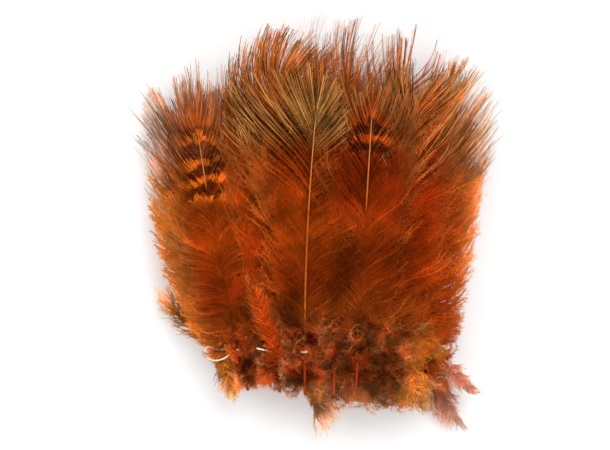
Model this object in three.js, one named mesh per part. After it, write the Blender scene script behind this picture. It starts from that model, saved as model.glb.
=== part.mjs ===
import * as THREE from "three";
import { mergeVertices } from "three/addons/utils/BufferGeometryUtils.js";

// A bunch of ring-necked pheasant rump hackles, dyed orange and strung on one cotton thread.
// The strung strip is folded back and forth and lies flat on its lowest feather, tips towards +Y.
// Lengths are in millimetres. Y is 0 at the thread while the feathers are laid, and Z is 0 at the surface.

// The driving dimensions
const QUILL_RADIUS = 0.4;
const SHAFT_TIP_RADIUS = 0.14;
const WEB = 0.22; // thickness of a vane
const QUILL_PAST_THREAD = 11; // of a hackle, from the thread to the cut end of its quill
const PLUME_QUILL_PAST_THREAD = 4;
const PINCH = 1.4; // bare quill on each side of the thread
const SHAFT_SHARE = 0.79; // of the way from the thread to the tip that the shaft reaches
const THREAD_RADIUS = 0.25;
const THREAD_GAP = 0.4; // between the thread and the quills that it passes
const THREAD_SIDES = 6;
const THREAD_LEVEL = 0.85; // between two quills, over the feather that it has just passed
const THREAD_EASE = 1.8; // from a quill to where it is back at that level

// The feathers lie on each other, with this step from one to the next at the heart and the rim of the pile.
const STEP_HEART = 0.9;
const STEP_RIM = 0.56;
const HEART = { x: 3, y: 15 };
const RIM_REACH = { x: 50, y: 82 };
const THREAD_LIFT = 1; // how far the quills rise off the surface where the thread runs under them
const THREAD_LIFT_REACH = 9;

// The strip, row by row from the surface up. Each row starts where the strip folds back on itself.
// Within a row the feathers are in their order on the thread, which is also their order in the pile.
// at is the place on the thread, tip is where the longest barb ends, and bend is the shaft's turn in degrees.
// turn is where the thread swings out to the next row, as x, y and its rise over the row's last feather.
const ROWS = [
  {
    feathers: [
      { name: "hackle_01", at: 5, tip: [5, 78], bend: -2 },
      { name: "hackle_02", at: 15, tip: [20, 79], bend: 2 },
      { name: "hackle_03", at: 25, tip: [31, 72], bend: 3 },
    ],
    turn: [[29, 0, 0.17], [32.5, 0.2, 1.1]],
  },
  {
    feathers: [
      { name: "plume_1", at: 29, tip: [41, -22], bend: -14, plume: true },
      { name: "hackle_04", at: 18, tip: [24, 80], bend: 3 },
      { name: "hackle_05", at: 1, tip: [2, 84], bend: -2 },
      { name: "hackle_06", at: -12, tip: [-22, 73], bend: -3 },
      { name: "hackle_07", at: -21, tip: [-33, 62], bend: -5 },
    ],
    turn: [[-25, 0, 0.17], [-28, 0.2, 1.1]],
  },
  {
    feathers: [
      { name: "plume_2", at: -25, tip: [-41, 14], bend: 12, plume: true },
      { name: "hackle_08", at: -16, tip: [-25, 71], bend: -2 },
      { name: "plume_3", at: -3, tip: [2, -22], bend: 10, plume: true },
      { name: "hackle_09", at: 8, tip: [12, 82], bend: 2 },
      { name: "hackle_10", at: 21, tip: [27, 77], bend: 4 },
      { name: "hackle_11", at: 30, tip: [33, 62], bend: 4 },
    ],
    turn: [[33, 0, 0.17], [36.5, 0.3, 1.1]],
  },
  {
    feathers: [
      { name: "plume_4", at: 33, tip: [46, -13], bend: -40, plume: true },
      { name: "hackle_12", at: 19, tip: [25, 83], bend: 2 },
      { name: "hackle_13", at: -1, tip: [4, 88], bend: 5 },
      { name: "hackle_14", at: -21, tip: [-37, 69], bend: -4 },
      { name: "plume_5", at: -24, tip: [-20, -13], bend: 8, plume: true },
    ],
    turn: [[-27, 0.7, 1.3], [-27.7, -1.2, 1.5], [-25.6, -2.8, 1.8], [-22.6, -2.2, 2.1]],
  },
  {
    feathers: [
      { name: "hackle_15", at: -19, tip: [-32, 72], bend: 5 },
      { name: "hackle_16", at: -9, tip: [-8, 83], bend: 9 },
      { name: "hackle_17", at: 6, tip: [11, 84], bend: 4 },
    ],
    turn: [[29, 0, 0.17], [33.4, -0.5, 0.9], [36, 0.9, 1.3], [33, 1, 1.8]],
  },
  {
    feathers: [
      { name: "hackle_18", at: 29, tip: [34, 70], bend: 5 },
      { name: "plume_6", at: 24, tip: [30, -15], bend: -40, plume: true },
      { name: "hackle_19", at: 21, tip: [28, 77], bend: 4 },
      { name: "hackle_20", at: 12, tip: [17, 79], bend: 1 },
      { name: "hackle_21", at: -1.7, tip: [3, 77], bend: 7 },
      { name: "plume_7", at: -9, tip: [-18, 22], bend: -10, plume: true },
    ],
    turn: [],
  },
];
const THREAD_START = [1, 0.7];
const THREAD_END = [-14, 0.9];

const rad = THREE.MathUtils.degToRad;

// Height of the underside of the feather that lies in the given place of the pile.
function layerHeight(place, x, y) {
  const out = Math.min(1, ((x - HEART.x) / RIM_REACH.x) ** 2 + ((y - HEART.y) / RIM_REACH.y) ** 2);
  const step = STEP_HEART - (STEP_HEART - STEP_RIM) * out;
  const fromThread = Math.min(1, Math.abs(y) / THREAD_LIFT_REACH);
  return place * step + THREAD_LIFT * (1 - fromThread ** 2) ** 2;
}

// A feather's shaft is an arc in plan. Its length and its heading follow from where it starts and ends.
// A heading is an angle clockwise from +Y.
function shaftOf(feather) {
  const dx = feather.tip[0] - feather.at;
  const dy = feather.tip[1];
  const bend = rad(feather.bend);
  const reach = Math.hypot(dx, dy) * (bend === 0 ? 1 : bend / 2 / Math.sin(bend / 2));
  const heading = Math.atan2(dx, dy) - bend / 2;
  return {
    reach,
    headingAt: (s) => heading + (bend * s) / reach,
    pointAt: (s) => {
      const half = (bend * s) / reach / 2;
      const chord = s * (half === 0 ? 1 : Math.sin(half) / half);
      return [feather.at + chord * Math.sin(heading + half), chord * Math.cos(heading + half)];
    },
  };
}

// Length of a hackle's barbs as a share of its reach, and their angle to the shaft, at share u of the shaft.
function hackleBarb(u) {
  const widening = Math.sin((Math.PI / 2) * Math.min(1, u / 0.75));
  const narrowing = Math.max(0, (u - 0.75) / 0.25) ** 1.5;
  return {
    length: 0.14 + 0.18 * widening - 0.11 * narrowing,
    angle: rad(60) * (1 - u ** 3.2) ** 0.6 + rad(18) * Math.max(0, 1 - u / 0.25),
  };
}

// The same for a small downy plume, which is broad for its length.
function plumeBarb(u) {
  return {
    length: 0.16 + 0.2 * Math.sin(Math.PI * Math.min(1, u + 0.12)),
    angle: rad(56) * (1 - u ** 3) ** 0.6,
  };
}

// The rows of locks along each kind of feather. s is measured from the thread, and u along the shaft.
// Long and short rows alternate, so that the edge of the vane runs out in separate locks.
const SKIRT = [
  { s: -8.5, quill: true },
  { s: -6, length: 9, angle: rad(135) },
  { s: -3.5, length: 7, angle: rad(105) },
];
const HACKLE_ROWS = [0.035, 0.12, 0.23, 0.35, 0.47, 0.59, 0.7, 0.8, 0.89, 0.97];
const PLUME_ROWS = [0.22, 0.38, 0.54, 0.7, 0.84, 0.95];
const SHORT_LOCK = 0.74;
const LOCK_CURL = rad(12); // how far a lock turns towards the tip along its length

function rowsOf(feather, reach) {
  const shaft = reach * SHAFT_SHARE;
  const barb = feather.plume ? plumeBarb : hackleBarb;
  const vane = (feather.plume ? PLUME_ROWS : HACKLE_ROWS).map((u, i) => {
    const { length, angle } = barb(u);
    return { s: u * shaft, length: length * reach * (i % 2 ? 1 : SHORT_LOCK), angle };
  });
  const end = feather.plume ? -PLUME_QUILL_PAST_THREAD : -QUILL_PAST_THREAD;
  const pinch = [-PINCH, PINCH].map((s) => ({ s, quill: true }));
  return [{ s: end, quill: true }, ...(feather.plume ? [] : SKIRT), ...pinch, ...vane];
}

// The section across one row, from its left edge over the shaft to its right edge and back underneath.
// along is the way out from the shaft, negative on the left, and up is the height over the underside.
function sectionOf(row, shaftRadius) {
  if (row.quill) {
    return [180, 150, 120, 90, 60, 30, 0, -45, -90, -135].map((degrees) => ({
      along: Math.cos(rad(degrees)) * QUILL_RADIUS,
      up: QUILL_RADIUS * (1 + Math.sin(rad(degrees))),
    }));
  }
  const edge = row.length;
  const ridge = Math.max(WEB + 0.06, 2 * shaftRadius);
  return [
    { along: -edge, up: WEB / 2 },
    { along: -edge / 2, up: WEB },
    { along: -shaftRadius, up: WEB },
    { along: 0, up: ridge },
    { along: shaftRadius, up: WEB },
    { along: edge / 2, up: WEB },
    { along: edge, up: WEB / 2 },
    { along: edge / 2, up: 0 },
    { along: 0, up: 0 },
    { along: -edge / 2, up: 0 },
  ];
}

// One feather as a closed solid, with a ring of points for each row and one point at the tip.
function featherSolid(feather, place) {
  const { reach, headingAt, pointAt } = shaftOf(feather);
  const rows = rowsOf(feather, reach);
  const points = [];
  const put = (x, y, up) => points.push(x, y, layerHeight(place, x, y) + up);
  for (const row of rows) {
    const [x, y] = pointAt(row.s);
    const share = THREE.MathUtils.clamp(row.s / (reach * SHAFT_SHARE), 0, 1);
    const shaftRadius = THREE.MathUtils.lerp(QUILL_RADIUS, SHAFT_TIP_RADIUS, share);
    for (const { along, up } of sectionOf(row, shaftRadius)) {
      const spread = row.quill ? Math.PI / 2 : row.angle - (LOCK_CURL * Math.abs(along)) / row.length / 2;
      const heading = headingAt(row.s) + Math.sign(along) * spread;
      put(x + Math.abs(along) * Math.sin(heading), y + Math.abs(along) * Math.cos(heading), up);
    }
  }
  put(...pointAt(reach), WEB / 2);

  // The underside is parted along the same diagonals as the top, so that the web keeps its thickness.
  const faces = [];
  const ring = (points.length / 3 - 1) / rows.length;
  const underside = ring / 2 + 1;
  for (let i = 0; i + 1 < rows.length; i++) {
    for (let j = 0; j < ring; j++) {
      const [a, b] = [i * ring + j, i * ring + ((j + 1) % ring)];
      if (j < underside) faces.push(a, b, b + ring, a, b + ring, a + ring);
      else faces.push(a, b, a + ring, b, b + ring, a + ring);
    }
  }
  const last = (rows.length - 1) * ring;
  for (let j = 0; j < ring; j++) faces.push(last + j, last + ((j + 1) % ring), rows.length * ring);
  for (let j = 1; j + 1 < ring; j++) faces.push(0, j + 1, j);
  const geometry = new THREE.BufferGeometry();
  geometry.setAttribute("position", new THREE.Float32BufferAttribute(points, 3));
  geometry.setIndex(faces);
  return geometry;
}

// A curve that is sampled at its own points only, so that each of them is a ring of the tube.
class Route extends THREE.CatmullRomCurve3 {
  getUtoTmapping(u) {
    return u;
  }
}

// The thread weaves over the first quill of a row and under the next, and swings out where the strip folds.
function threadRoute() {
  const clear = QUILL_RADIUS + THREAD_GAP + THREAD_RADIUS;
  const route = [];
  const pass = (place, x, y, rise) => route.push(new THREE.Vector3(x, y, layerHeight(place, x, y) + rise));
  let place = 0;
  for (const { feathers, turn } of ROWS) {
    const onward = Math.sign(feathers[1].at - feathers[0].at);
    feathers.forEach(({ at }, i) => {
      if (i > 0) pass(place - 1, at - onward * THREAD_EASE, 0, THREAD_LEVEL);
      for (const round of [-45, 0, 45]) {
        const rise = clear * Math.cos(rad(round)) * (i % 2 ? -1 : 1);
        pass(place, at + onward * clear * Math.sin(rad(round)), 0, QUILL_RADIUS + rise);
      }
      if (i + 1 < feathers.length) pass(place, at + onward * THREAD_EASE, 0, THREAD_LEVEL);
      place++;
    });
    for (const [x, y, rise] of turn) pass(place - 1, x, y, rise);
  }
  const [first, last] = [route[0], route[route.length - 1]];
  route.unshift(new THREE.Vector3(...THREAD_START, first.z));
  route.push(new THREE.Vector3(...THREAD_END, last.z));
  return route;
}

function threadSolid() {
  const section = new THREE.Shape(
    Array.from({ length: THREAD_SIDES }, (_, i) => {
      const angle = (2 * Math.PI * i) / THREAD_SIDES;
      return new THREE.Vector2(Math.cos(angle), Math.sin(angle)).multiplyScalar(THREAD_RADIUS);
    }),
  );
  const route = threadRoute();
  const extrudePath = new Route(route, false, "centripetal");
  const options = { steps: route.length - 1, extrudePath, bevelEnabled: false };
  const tube = new THREE.ExtrudeGeometry(section, options);
  tube.deleteAttribute("normal");
  tube.deleteAttribute("uv");
  return mergeVertices(tube);
}

const hackleFinish = new THREE.MeshStandardMaterial({ color: 0xa8480f, roughness: 0.7, metalness: 0 });
const plumeFinish = new THREE.MeshStandardMaterial({ color: 0xb9601c, roughness: 0.8, metalness: 0 });
const threadFinish = new THREE.MeshStandardMaterial({ color: 0xf0dcae, roughness: 0.85, metalness: 0 });

function named(name, geometry, material) {
  const mesh = new THREE.Mesh(geometry, material);
  mesh.name = name;
  return mesh;
}

const bunch = new THREE.Group();
ROWS.flatMap((row) => row.feathers).forEach((feather, place) => {
  bunch.add(named(feather.name, featherSolid(feather, place), feather.plume ? plumeFinish : hackleFinish));
});
bunch.add(named("stringing_thread", threadSolid(), threadFinish));

// The finished frame has its origin under the middle of the bunch.
const box = new THREE.Box3().setFromObject(bunch);
const middle = box.getCenter(new THREE.Vector3());
bunch.position.set(-middle.x, -middle.y, -box.min.z);

export default bunch;
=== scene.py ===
# %% [markdown]
# # A strung bunch of pheasant rump hackles
# The rump hackles of a ring-necked pheasant, dyed orange, hang side by side on one cotton thread. The strip
# is folded back and forth on itself and laid down flat, so that the feathers lie on each other like a pack of
# cards, with their tips fanned out at the top and curly down round their quills at the bottom.
# This lesson grows every feather barb by barb. The imported solids give the middle of the bunch, and a table
# the place of each feather.

# %% Load the imported bunch
import math

import bpy
import numpy as np
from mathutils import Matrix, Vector


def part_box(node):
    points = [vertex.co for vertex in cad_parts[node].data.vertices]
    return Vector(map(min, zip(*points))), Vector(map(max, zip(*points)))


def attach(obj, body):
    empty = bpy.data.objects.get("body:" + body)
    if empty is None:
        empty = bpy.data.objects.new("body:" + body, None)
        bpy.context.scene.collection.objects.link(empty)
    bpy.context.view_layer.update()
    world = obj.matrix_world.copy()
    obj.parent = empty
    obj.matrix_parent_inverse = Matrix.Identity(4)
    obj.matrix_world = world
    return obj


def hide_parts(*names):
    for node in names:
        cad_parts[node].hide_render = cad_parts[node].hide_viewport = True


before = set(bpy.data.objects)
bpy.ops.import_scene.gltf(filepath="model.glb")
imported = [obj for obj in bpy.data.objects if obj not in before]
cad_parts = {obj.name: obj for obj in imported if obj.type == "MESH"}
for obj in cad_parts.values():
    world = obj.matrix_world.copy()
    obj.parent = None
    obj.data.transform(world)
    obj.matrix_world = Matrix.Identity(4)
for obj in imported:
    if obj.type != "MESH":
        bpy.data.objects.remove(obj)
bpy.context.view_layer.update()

MM = 0.001  # lengths are worked out in millimetres, and Blender gets metres

# %% [markdown]
# ## The strip of feathers
# A strung bunch is described by where each quill sits on the thread and where its longest barb ends.
# Each could be drawn by hand, but a table keeps the pile easy to change. The rows run from the lowest to the
# highest, and a row starts where the strip folds back. The last word is the look of the feather: birds have
# olive hackles low on the back and barred or rusty ones at the sides.

# %% The strip, row by row
# A feather is its name, mm along the thread, where its longest barb ends in mm, its bend in degrees and its
# look. After each row comes the thread's way on to the next one, as x, y and height above the pile in mm.
STRIP = [
    ([
        ("hackle_01", 5, (5, 78), -2, "olive"),
        ("hackle_02", 15, (20, 79), 2, "olive"),
        ("hackle_03", 25, (31, 72), 3, "red"),
    ], [(29, 0, 0.17), (32.5, 0.2, 1.1)]),
    ([
        ("plume_1", 29, (41, -22), -14, "pink_plume"),
        ("hackle_04", 18, (24, 80), 3, "red"),
        ("hackle_05", 1, (2, 84), -2, "pale"),
        ("hackle_06", -12, (-22, 73), -3, "red"),
        ("hackle_07", -21, (-33, 62), -5, "pale"),
    ], [(-25, 0, 0.17), (-28, 0.2, 1.1)]),
    ([
        ("plume_2", -25, (-41, 14), 12, "gold_plume"),
        ("hackle_08", -16, (-25, 71), -2, "red"),
        ("plume_3", -3, (2, -22), 10, "peach_plume"),
        ("hackle_09", 8, (12, 82), 2, "red"),
        ("hackle_10", 21, (27, 77), 4, "olive"),
        ("hackle_11", 30, (33, 62), 4, "cream"),
    ], [(33, 0, 0.17), (36.5, 0.3, 1.1)]),
    ([
        ("plume_4", 33, (46, -13), -40, "pink_plume"),
        ("hackle_12", 19, (25, 83), 2, "red"),
        ("hackle_13", -1, (4, 88), 5, "pale"),
        ("hackle_14", -21, (-37, 69), -4, "pale"),
        ("plume_5", -24, (-20, -13), 8, "gold_plume"),
    ], [(-27, 0.7, 1.3), (-27.7, -1.2, 1.5), (-25.6, -2.8, 1.8), (-22.6, -2.2, 2.1)]),
    ([
        ("hackle_15", -19, (-32, 72), 5, "barred"),
        ("hackle_16", -9, (-8, 83), 9, "orange"),
        ("hackle_17", 6, (11, 84), 4, "orange"),
    ], [(29, 0, 0.17), (33.4, -0.5, 0.9), (36, 0.9, 1.3), (33, 1, 1.8)]),
    ([
        ("hackle_18", 29, (34, 70), 5, "cream"),
        ("plume_6", 24, (30, -15), -40, "gold_plume"),
        ("hackle_19", 21, (28, 77), 4, "spiky"),
        ("hackle_20", 12, (17, 79), 1, "chevron"),
        ("hackle_21", -1.7, (3, 77), 7, "olive"),
        ("plume_7", -9, (-18, 22), -10, "orange_plume"),
    ], []),
]
FEATHERS = [feather for feathers, _ in STRIP for feather in feathers]

# The table is measured from the thread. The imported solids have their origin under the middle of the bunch.
tip_of = {name: tip for name, _, tip, _, _ in FEATHERS}
MIDDLE_X = tip_of["plume_4"][0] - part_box("plume_4")[1].x / MM
MIDDLE_Y = tip_of["plume_3"][1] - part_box("plume_3")[0].y / MM
print("middle of the bunch, from the thread:", round(MIDDLE_X, 2), round(MIDDLE_Y, 2), "mm")

# %% [markdown]
# ## The camera
# The bunch was laid on a table and seen from straight above, a bit off its middle. A long lens far away keeps
# the thick pile from leaning outwards in the picture. The camera is made first, because everything after it
# is judged through it.

# %% The camera looks down on the bunch
PICTURE_WIDTH = 158.6  # mm of the pile that the picture takes in from side to side
PICTURE_MIDDLE = (-1.6, 32.5)  # mm, measured as the strip is
PILE_TOP = 18.0  # mm above the table, where that width is measured
LENS = 100.0
SENSOR = 36.0

camera = bpy.data.objects.new("camera", bpy.data.cameras.new("camera"))
bpy.context.scene.collection.objects.link(camera)
camera.data.lens = LENS
camera.data.sensor_width = SENSOR
camera.data.clip_start = 0.01
camera.data.clip_end = 20
camera.location = Vector((
    PICTURE_MIDDLE[0] - MIDDLE_X,
    PICTURE_MIDDLE[1] - MIDDLE_Y,
    PILE_TOP + PICTURE_WIDTH * LENS / SENSOR,
)) * MM
bpy.context.scene.camera = camera
print("camera", round(camera.location.z / MM), "mm above the table")

# %% [markdown]
# ## The shaft as an arc
# A hackle's shaft is a smooth arc, and every barb is placed from it. Positions are easiest as two numbers:
# how far along the shaft, and how far out to the side. The functions below turn them into a place on the
# table, and give the height at which a feather lies in the pile. A rendered curve object would do for one
# feather, but numbers in arrays bend thousands of barbs at once.

# %% Where a feather lies
HEART = (3, 15)  # mm, the highest spot of the pile
RIM_REACH = (50, 82)  # mm from there to its rim, to the side and along the feathers
STEP_HEART = 0.9  # mm from one feather of the pile to the next, at the heart and at the rim
STEP_RIM = 0.56
THREAD_LIFT = 1.0  # the thread under the quills lifts them
THREAD_LIFT_REACH = 9.0
SHAFT_SHARE = 0.79  # of a feather's length that its shaft reaches
RIM_SAG = 0.22  # share of its height that the pile sinks by at its rim, where barbs hang free


def pile_height(place, x, y):
    out = np.minimum(1, ((x - HEART[0]) / RIM_REACH[0]) ** 2 + ((y - HEART[1]) / RIM_REACH[1]) ** 2)
    step = STEP_HEART - (STEP_HEART - STEP_RIM) * out
    from_thread = np.minimum(1, np.abs(y) / THREAD_LIFT_REACH)
    return place * step * (1 - RIM_SAG * out ** 3) + THREAD_LIFT * (1 - from_thread ** 2) ** 2


class Shaft:
    """The arc of one shaft, from its place on the thread towards its tip."""

    def __init__(self, at, tip, bend):
        dx, dy = tip[0] - at, tip[1]
        self.at = at
        self.bend = math.radians(bend)
        self.reach = math.hypot(dx, dy) * (self.bend / 2) / math.sin(self.bend / 2)
        self.heading = math.atan2(dx, dy) - self.bend / 2
        self.length = self.reach * SHAFT_SHARE

    def lay(self, side, along):
        """The place that is side mm to the right of the shaft, along mm from the thread."""
        half = self.bend * along / self.reach / 2
        chord = along * np.sinc(half / np.pi)
        heading = self.heading + 2 * half
        x = self.at + chord * np.sin(self.heading + half) + side * np.cos(heading)
        y = chord * np.cos(self.heading + half) - side * np.sin(heading)
        return x, y


shafts = {name: Shaft(at, tip, bend) for name, at, tip, bend, _ in FEATHERS}
print("shafts from", round(min(s.length for s in shafts.values())), "to",
      round(max(s.length for s in shafts.values())), "mm long")

# %% [markdown]
# ## Barbs
# The vane of a feather is a row of barbs on each side of its shaft. Near the quill they are soft and curly,
# in the middle they are velvety, and at the tip they are stiff hairs that stand apart. Painting them on a
# flat card would lose the frayed outline, so each barb is a narrow ribbon of its own. How long it is and how
# far it leans depends on where it grows, and neighbours cling together in bundles, as wet hair does.

# %% How barbs lean and how long they grow
SKIRT_ROOTS = [-8.5, -6.0, -3.5, 1.5]  # mm along the quill of the curly down
SKIRT_LEANS = [150, 135, 105, 80]  # degrees from the way the shaft points
SKIRT_LENGTHS = [7.0, 9.0, 8.5, 10.5]  # mm
LONGEST_AT = 0.75  # share of the shaft where the barbs of a hackle are longest
QUILL_BARB = 0.14  # lengths of barbs, as shares of the feather's
LONGEST_GAIN = 0.18
TIP_LOSS = 0.11
VANE_LEAN = math.radians(60)
QUILL_LEAN = math.radians(18)  # more than that near the quill
PLUME_BARB = 0.2
PLUME_GAIN = 0.17
PLUME_LEAN = math.radians(56)


def ease(x):
    x = np.clip(x, 0, 1)
    return x * x * (3 - 2 * x)


def hackle_barb(u):
    """The length, as a share of the feather's, and the lean of a hackle's barb at share u of the shaft."""
    length = QUILL_BARB + LONGEST_GAIN * np.sin(np.pi / 2 * np.minimum(1, u / LONGEST_AT))
    length -= TIP_LOSS * np.maximum(0, (u - LONGEST_AT) / (1 - LONGEST_AT)) ** 1.5
    lean = VANE_LEAN * (1 - np.minimum(1, u) ** 3.2) ** 0.6
    return length, lean + QUILL_LEAN * np.maximum(0, 1 - u / 0.25)


def plume_barb(u):
    """The same for a small downy plume, which is broad for its length."""
    length = PLUME_BARB + PLUME_GAIN * np.sin(np.pi * np.minimum(1, u + 0.12))
    return length, PLUME_LEAN * (1 - np.minimum(1, u) ** 3) ** 0.6


def comb(rng, start, end, gap, end_gap=None):
    """Roots of barbs on both sides of a shaft, and the side of each. The gap may change along the shaft."""
    count = int((end - start) / ((gap + (end_gap or gap)) / 2))
    steps = np.linspace(gap, end_gap or gap, count)
    roots = start + (np.cumsum(steps) - steps) * (end - start) / steps.sum()
    roots = np.tile(roots, 2) + np.tile(steps, 2) * rng.uniform(0.2, 0.8, 2 * count)
    return roots, np.repeat([-1.0, 1.0], count)


def bundle_up(rng, side, fewest, most):
    """The number of the bundle that each barb clings to."""
    count = len(side) // 2
    numbers = []
    for _ in range(2):
        sizes = rng.integers(fewest, most + 1, count)
        numbers.append(np.repeat(np.arange(count), sizes)[:count])
    return np.concatenate([numbers[0], numbers[1] + numbers[0].max() + 1])


# %% [markdown]
# ## Even sides
# A strung bunch is stroked even, so the soft barbs of all its feathers stop at much the same line and lie
# close there. Cutting the sheets along that line would leave blunt ends. Drawing a barb that reaches past the
# line back towards its root keeps its curl and its fine end.

# %% The sides and the lower edge
SIDE_HEIGHTS = (-9, -5, 0, 5, 10, 16, 23, 31, 42, 50, 56)  # mm above the thread
LEFT_SIDE = (-22, -25.5, -28.6, -31.5, -35.2, -38, -39.9, -41.7, -42.8, -44, -60)  # mm, open above
RIGHT_SIDE = (36.2, 36.6, 37.4, 38.4, 39.7, 41.2, 42.8, 43.6, 44.4, 46, 60)
EDGE_ACROSS = (-24, -4, 1, 10, 18, 26, 34, 38)  # mm along the thread
LOWER_EDGE = (-9.6, -10.6, -12.4, -12.6, -14.4, -14.4, -16.4, -15)
EDGE_SLACK = 0.6  # mm that the line wanders from barb to barb
LEAST_REACH = 1.5  # mm that every barb may reach


def share_kept(rng, x, y, stiff):
    """How much of each barb's reach is kept, so that the soft ones end at the sides and the lower edge."""
    slack = rng.normal(0, EDGE_SLACK, (len(x), 1))
    x_root, y_root = x[:, :1], y[:, :1]
    right = (np.interp(y, SIDE_HEIGHTS, RIGHT_SIDE) + slack - x_root).clip(LEAST_REACH)
    left = (x_root - np.interp(y, SIDE_HEIGHTS, LEFT_SIDE) + slack).clip(LEAST_REACH)
    lower = (y_root - np.interp(x, EDGE_ACROSS, LOWER_EDGE) + 2 * slack).clip(LEAST_REACH)
    past = np.maximum.reduce([(x - x_root) / right, (x_root - x) / left, (y_root - y) / lower]).max(1)
    return 1 + (1 / np.maximum(past, 1) - 1) * (1 - stiff)


# %% [markdown]
# ## From numbers to curved barbs
# A barb starts at its lean and turns towards the tip as it goes out. Down also waves from side to side. The
# path of each barb is summed up step by step, pulled towards the middle of its bundle, lifted off the feather
# below it, and only then laid on the pile.

# %% Paths of the barbs
STEPS = 9  # points along a barb
START_LEAN = 0.5  # a barb leaves the shaft at this share of its lean
FULL_LEAN = 1.24  # and swings out to this one, before it turns up again
SWUNG_OUT = 0.4  # shares of a barb's length
TURNS_UP = 0.45
CLINGS = 0.45
PARTS = 0.5
LEAST_HEIGHT = 0.12  # mm above the feather below


def grow(rng, shaft, place, barbs):
    """Points along each barb on the pile, and how far out and along they are on the feather."""
    t = np.linspace(0, 1, STEPS)
    middle = (t[1:] + t[:-1]) / 2
    bundle = barbs["bundle"]
    mates = np.bincount(bundle)
    together = rng.normal(0, 1, len(mates))[bundle]
    alone = rng.normal(0, 1, len(bundle))
    swing = START_LEAN + (FULL_LEAN - START_LEAN) * ease(middle / SWUNG_OUT)
    swing = swing - (FULL_LEAN - barbs["finish"][:, None]) * ease((middle - TURNS_UP) / (1 - TURNS_UP))
    lean = barbs["lean"][:, None] * (swing + (1 - swing) * barbs["straight"][:, None])
    lean = lean + (barbs["stray"] * (0.5 * together + 0.7 * alone))[:, None] * middle
    lean = lean * barbs["side"][:, None] + barbs["sweep"][:, None] * middle ** 1.5
    step = barbs["length"][:, None] / (STEPS - 1)
    start = np.zeros((len(bundle), 1))
    out = np.concatenate([start, np.cumsum(np.sin(lean) * step, 1)], 1) + barbs["beside"][:, None]
    up = np.concatenate([start, np.cumsum(np.cos(lean) * step, 1)], 1) + barbs["root"][:, None]

    # Soft barbs wave across their own direction, those of one bundle much alike.
    lean = np.concatenate([lean[:, :1], lean], 1)
    turns = barbs["waves"][:, None] * t * 2 * np.pi
    phase = (rng.uniform(0, 2 * np.pi, len(mates))[bundle] + rng.normal(0, 0.5, len(bundle)))[:, None]
    sway = barbs["wave"][:, None] * (np.sin(turns + phase) - np.sin(phase)) * np.minimum(1, 2 * t)
    out = out + sway * np.cos(lean)
    up = up - sway * np.sin(lean)

    # Barbs of a bundle cling together past their roots and part again at their ends.
    parted = barbs["part"][:, None] * ease((t - PARTS) / (1 - PARTS))
    cling = barbs["cling"][:, None] * ease(t / CLINGS) * (1 - parted)
    for path in (out, up):
        centre = np.stack([np.bincount(bundle, path[:, k]) / mates for k in range(STEPS)], 1)[bundle]
        path += (centre - path) * cling
    lift = rng.normal(0, 1, len(mates))[bundle] * 0.7 + alone * 0.45
    height = barbs["over"][:, None] + barbs["arch"][:, None] * np.sin(np.pi * np.minimum(1, t * 0.9))
    height = height + barbs["loft"][:, None] * (lift[:, None] * t + 0.6 * np.cos(turns + phase) * t)
    x, y = shaft.lay(out, up)
    if FEATHERS[place][0].startswith("hackle"):
        kept = share_kept(rng, x, y, barbs["stiff"])[:, None]
        out = out[:, :1] + (out - out[:, :1]) * kept
        up = up[:, :1] + (up - up[:, :1]) * kept
        x, y = shaft.lay(out, up)
    z = pile_height(place, x, y) + np.maximum(LEAST_HEIGHT, height)
    return np.stack([x, y, z], 2), out, up


# %% [markdown]
# ## Ribbons and barbules
# Each barb becomes a ribbon that is as wide as its neighbours are apart at the root, where the vane is
# closed, and hair-thin at its end. Barbs of a real feather carry barbules, far finer hairs that give the
# velvet. Thousands of single thin triangles stand for them. Every corner keeps a few numbers for the colours
# later on: how far it is from the tip of the feather and from its shaft, how far out on its barb, how stiff,
# two of fate, and whether it is the point of a barbule.

# %% Sheets of faces
CORNER_NUMBERS = ("tip_mm", "side_mm", "out_share", "stiff", "fate", "bundle_fate", "fuzz")
BAKE_COLUMNS = 24  # the cells of a sheet where each barb has its own, for finishes that are baked
CELL_ACROSS = np.array([0.1, 0.9])  # the part of a cell that a ribbon fills
CELL_ALONG = (0.03, 0.97)
BARBULE_FOOT = 0.075  # mm, half the width of a barbule's root
BARBULE_LEANS = (24, 58)  # degrees from its barb
BARBULE_SIZES = (0.6, 1.3)  # shares of the length that its barb asks for
BARBULE_RISES = (-0.12, 0.42)  # how steeply it points down or up


def bake_cell(count):
    rows = math.ceil(count / BAKE_COLUMNS)
    index = np.arange(count)
    return index % BAKE_COLUMNS / BAKE_COLUMNS, index // BAKE_COLUMNS / rows, 1 / BAKE_COLUMNS, 1 / rows


def across(points):
    """Unit vectors along each path and level across it."""
    ahead = np.gradient(points, axis=1)
    ahead /= np.linalg.norm(ahead, axis=2, keepdims=True) + 1e-9
    right = np.stack([ahead[..., 1], -ahead[..., 0], np.zeros(ahead.shape[:2])], 2)
    right /= np.linalg.norm(right, axis=2, keepdims=True) + 1e-9
    return ahead, right


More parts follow.
